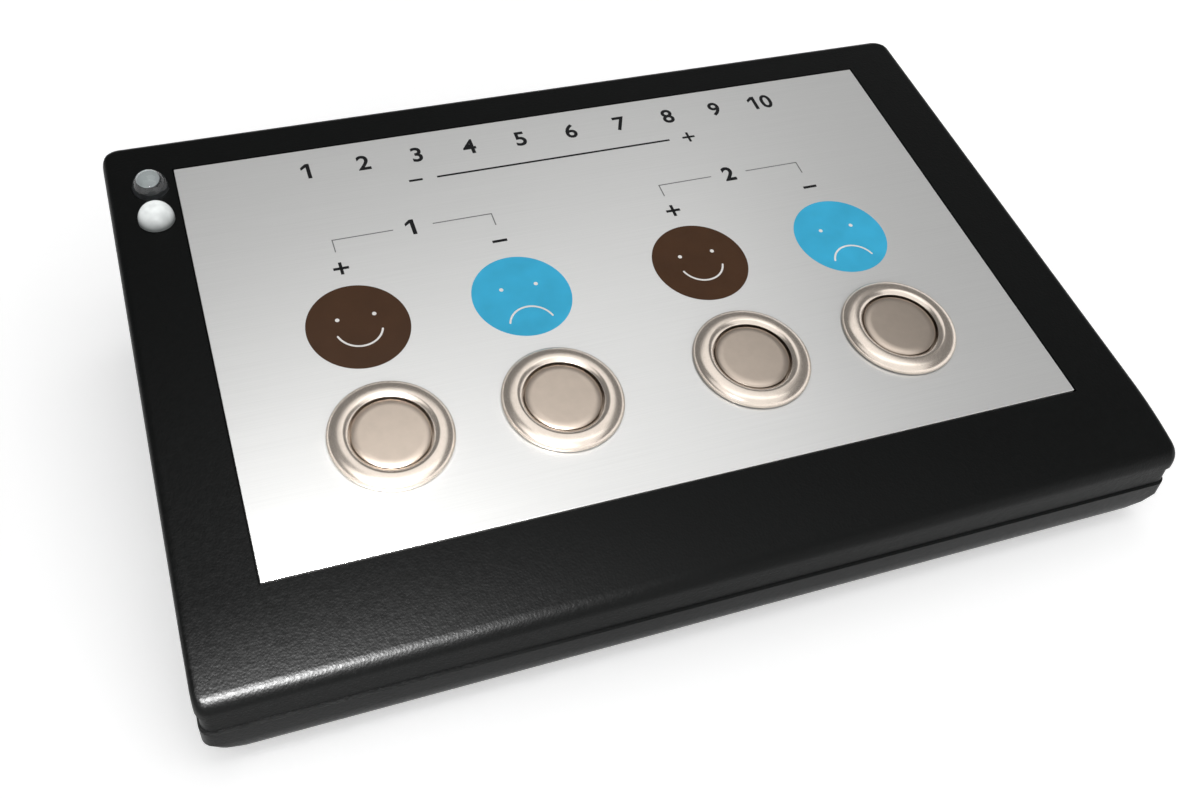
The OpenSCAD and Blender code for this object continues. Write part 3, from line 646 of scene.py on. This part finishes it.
def strip_into(bm, points, width, base, round_ends=True):
    """Adds a flat strip of ink along points, with round or square ends."""
    half = width / 2
    left, right = [], []
    for k, point in enumerate(points):
        before = Vector(points[max(k - 1, 0)])
        after = Vector(points[min(k + 1, len(points) - 1)])
        along = (after - before).normalized()
        side = Vector((-along.y, along.x)) * half
        left.append(Vector(point) + side)
        right.append(Vector(point) - side)
    outline = list(right)
    if round_ends:
        outline += round_end(points[-2], points[-1], half)
    outline += reversed(left)
    if round_ends:
        outline += round_end(points[1], points[0], half)
    prism_into(bm, outline, base)


def printed(name, bm, material, x=0.0, y=0.0):
    finish_piece(name, bm, material, "case", matrix=at_panel(x, y))


def rule(name, points, width, material=INK_BLACK):
    """A printed line with square ends."""
    bm = bmesh.new()
    strip_into(bm, points, width, 0.0, round_ends=False)
    printed(name, bm, material)


def minus_sign(name, x, y, half, width):
    rule(name, [(x - half, y), (x + half, y)], width)


def plus_sign(name, x, y, half, width):
    minus_sign(f"{name}_a", x, y, half, width)
    rule(f"{name}_b", [(x, y - half), (x, y + half)], width)


def number_piece(name, text, x, y, height, weight):
    """A plain number, centred on x, with its foot on y."""
    curve = bpy.data.curves.new(name, "FONT")
    curve.body = text
    curve.align_x = "CENTER"
    curve.offset = weight
    curve.resolution_u = FONT_STEPS
    holder = bpy.data.objects.new(name + "_curve", curve)
    bpy.context.scene.collection.objects.link(holder)
    bpy.context.view_layer.update()
    flat = bpy.data.meshes.new_from_object(holder.evaluated_get(bpy.context.evaluated_depsgraph_get()))
    bpy.data.objects.remove(holder)
    bm = bmesh.new()
    bm.from_mesh(flat)
    top = max(v.co.y for v in bm.verts)
    foot = min(v.co.y for v in bm.verts)
    scale = height / (top - foot)
    for v in bm.verts:
        v.co = Vector((v.co.x * scale, (v.co.y - foot) * scale, 0.0))
    bmesh.ops.remove_doubles(bm, verts=bm.verts, dist=FONT_WELD)
    if text.startswith("1"):
        stem = min(v.co.x for v in bm.verts)
        bm.faces.new([bm.verts.new((stem + a * height, b * height, 0.0)) for a, b in ONE_FLAG])
    grown = bmesh.ops.extrude_face_region(bm, geom=list(bm.faces))
    for item in grown["geom"]:
        if isinstance(item, bmesh.types.BMVert):
            item.co.z += INK_T
    printed(name, bm, INK_BLACK, x, y)


# ---------------------------------------------------------------- prints on the plate

# Over each button, a disc with a face: brown with a smile, or blue with a frown.
FACE_X = [-56.25, -20.75, 20.95, 56.25]
FACE_UP = -0.5
DISC_R = 10.83
EYE_X = 3.9
EYE_UP = 2.4
EYE_R = 0.46
MOUTH_HALF = 4.7
MOUTH_DEPTH = 3.4
MOUTH_W = 0.42
MOUTH_STEPS = 24
SMILE_UP = -1.8
FROWN_UP = -6.6


def mouth_points(smiling):
    """An arc between two ends at one height, which sags for a smile and rises for a frown."""
    ends_up = SMILE_UP if smiling else FROWN_UP
    bend = -MOUTH_DEPTH if smiling else MOUTH_DEPTH
    radius = (MOUTH_HALF ** 2 + MOUTH_DEPTH ** 2) / (2 * MOUTH_DEPTH)
    sweep = math.asin(MOUTH_HALF / radius)
    points = []
    for k in range(MOUTH_STEPS + 1):
        a = -sweep + 2 * sweep * k / MOUTH_STEPS
        rise = (math.cos(a) * radius - (radius - MOUTH_DEPTH)) / MOUTH_DEPTH
        points.append((radius * math.sin(a), ends_up + bend * rise))
    return points


def make_face(name, x, color, smiling):
    """A printed disc with two dots for eyes and an arc for a mouth."""
    bm = bmesh.new()
    prism_into(bm, circle((0.0, 0.0), DISC_R, 128), 0.0)
    printed(f"{name}_disc", bm, color, x, FACE_UP)
    bm = bmesh.new()
    for side in (-1, 1):
        prism_into(bm, circle((side * EYE_X, EYE_UP), EYE_R, 24), INK_T)
    strip_into(bm, mouth_points(smiling), MOUTH_W, INK_T)
    printed(f"{name}_marks", bm, INK_WHITE, x, FACE_UP)


for k, x in enumerate(FACE_X):
    good = k % 2 == 0
    make_face(f"face_{k + 1}", x, INK_BROWN if good else INK_BLUE, good)

# At the top, a scale of numbers.
SCALE_COUNT = 10
SCALE_UP = 42.9
SCALE_HALF = 57.0
SCALE_H = 4.6
SCALE_WEIGHT = 0.02
for k in range(SCALE_COUNT):
    x = -SCALE_HALF + 2 * SCALE_HALF * k / (SCALE_COUNT - 1)
    number_piece(f"scale_{k + 1}", str(k + 1), x, SCALE_UP, SCALE_H, SCALE_WEIGHT)

# Under the scale, a line from a minus to a plus.
LINE_UP = 37.3
LINE_HALF = 29.0
LINE_W = 0.5
END_X = 34.0
END_HALF = 1.6
END_W = 0.6
rule("scale_line", [(-LINE_HALF, LINE_UP), (LINE_HALF, LINE_UP)], LINE_W)
minus_sign("scale_minus", -END_X, LINE_UP, END_HALF, END_W)
plus_sign("scale_plus", END_X, LINE_UP, END_HALF, END_W)

# Over each pair of discs, a bracket round the pair's number, with a plus and a minus under its ends.
BRACKETS = [(-56.4, -20.2), (20.7, 56.5)]
BRACKET_UP = 23.6
BRACKET_DROP = 3.5
BRACKET_LAP = 0.12
BRACKET_W = 0.25
GROUP_UP = 21.4
GROUP_H = 4.4
GROUP_WEIGHT = 0.03
GROUP_HALF = 4.5
LABEL_UP = 15.4
LABEL_HALF = 1.7
LABEL_W = 0.7


def make_bracket(k, left, right):
    """A pair's number, and a thin line from each side of it that turns down at its end."""
    middle = (left + right) / 2
    number_piece(f"group_{k + 1}", str(k + 1), middle, GROUP_UP, GROUP_H, GROUP_WEIGHT)
    for side, start, end in (("left", middle - GROUP_HALF, left), ("right", middle + GROUP_HALF, right)):
        name = f"bracket_{k + 1}_{side}"
        rule(name, [(start, BRACKET_UP), (end, BRACKET_UP)], BRACKET_W, INK_GREY)
        drop = [(end, BRACKET_UP + BRACKET_LAP), (end, BRACKET_UP - BRACKET_DROP)]
        rule(f"{name}_drop", drop, BRACKET_W, INK_GREY)


for k, (left, right) in enumerate(BRACKETS):
    make_bracket(k, left, right)
    plus_sign(f"label_{k + 1}_plus", FACE_X[2 * k], LABEL_UP, LABEL_HALF, LABEL_W)
    minus_sign(f"label_{k + 1}_minus", FACE_X[2 * k + 1], LABEL_UP, LABEL_HALF, LABEL_W)


# ---------------------------------------------------------------- floor and light

# The floor's sizes, in metres, and its own light, which lifts it to white where it is seen. It
# is weak near the object, so that the shadow stays, and grows from LIFT_FROM to LIFT_TO.
FLOOR_FLAT = 2.2
FLOOR_CURVE = 0.8
FLOOR_WALL = 1.1
FLOOR_WHITE = (0.93, 0.93, 0.93)
NEAR_LIFT = 0.33
FAR_LIFT = 0.85
LIFT_FROM = 0.15
LIFT_TO = 0.8


def floor_material():
    """Plain white, with a light of its own that is hidden from diffuse rays: it isn't a lamp."""
    m = Nodes("floor_white", FLOOR_WHITE, roughness=0.9, specular=0.1)
    m.set("Emission Color", (1.0, 1.0, 1.0, 1.0))
    distance = m.add("ShaderNodeVectorMath", operation="LENGTH")
    m.link(m.add("ShaderNodeTexCoord").outputs["Object"], distance.inputs[0])
    lift = m.spread(distance.outputs["Value"], NEAR_LIFT, FAR_LIFT, LIFT_FROM, LIFT_TO)
    diffuse = m.add("ShaderNodeLightPath").outputs["Is Diffuse Ray"]
    strength = m.add("ShaderNodeMapRange")
    strength.inputs["To Max"].default_value = 0.0
    m.link(diffuse, strength.inputs["Value"])
    m.link(lift, strength.inputs["To Min"])
    m.link(strength.outputs["Result"], m.shader.inputs["Emission Strength"])
    return m.material


def make_floor():
    """A plain pale floor that curves up into a backdrop all round, well away from the object."""
    bm = bmesh.new()
    outline = [(0.0, 0.0), (FLOOR_FLAT / 2, 0.0)]
    outline += arc((FLOOR_FLAT, FLOOR_CURVE), (FLOOR_CURVE, FLOOR_CURVE), -90, 0, 12)
    outline.append((FLOOR_FLAT + FLOOR_CURVE, FLOOR_WALL))
    lathe_into(bm, outline)
    for face in bm.faces:
        face.smooth = True
    mesh = bpy.data.meshes.new("floor")
    bm.to_mesh(mesh)
    bm.free()
    mesh.materials.append(floor_material())
    floor = bpy.data.objects.new("floor", mesh)
    bpy.context.scene.collection.objects.link(floor)


def softbox(name, place, aim, size, power):
    """A rectangular lamp, sized in metres and powered in watts, which the camera doesn't see."""
    data = bpy.data.lights.new(name, "AREA")
    data.shape = "RECTANGLE"
    data.size, data.size_y = size
    data.energy = power
    light = bpy.data.objects.new(name, data)
    bpy.context.scene.collection.objects.link(light)
    light.location = place
    light.rotation_euler = (Vector(aim) - Vector(place)).to_track_quat("-Z", "Y").to_euler()
    light.visible_camera = False
    return light


WORLD_LEVEL = 0.25
OBJECT_MIDDLE = (0.0, 0.0, 0.03)
NOSE_LEFT = (-0.08, -0.06, 0.02)
GLINT_SPREAD_DEG = 36.0


def make_light():
    """An even world, a soft light overhead, a large one in front, and a glint on the nose's left."""
    world = bpy.data.worlds.new("world")
    bpy.context.scene.world = world
    world.use_nodes = True
    background = world.node_tree.nodes["Background"]
    background.inputs["Color"].default_value = (1.0, 1.0, 1.0, 1.0)
    background.inputs["Strength"].default_value = WORLD_LEVEL
    softbox("overhead", place=(0.19, 0.02, 1.0), aim=OBJECT_MIDDLE, size=(0.85, 0.75), power=2.05)
    softbox("front", place=(-0.1, -0.66, 0.86), aim=OBJECT_MIDDLE, size=(1.9, 1.3), power=7.6)
    glint = softbox(
        "glint", place=(-0.105, -0.205, 0.195), aim=NOSE_LEFT, size=(0.05, 0.06), power=0.26)
    glint.visible_diffuse = False
    glint.data.spread = math.radians(GLINT_SPREAD_DEG)


make_floor()
make_light()
bpy.context.scene.view_settings.view_transform = "Standard"
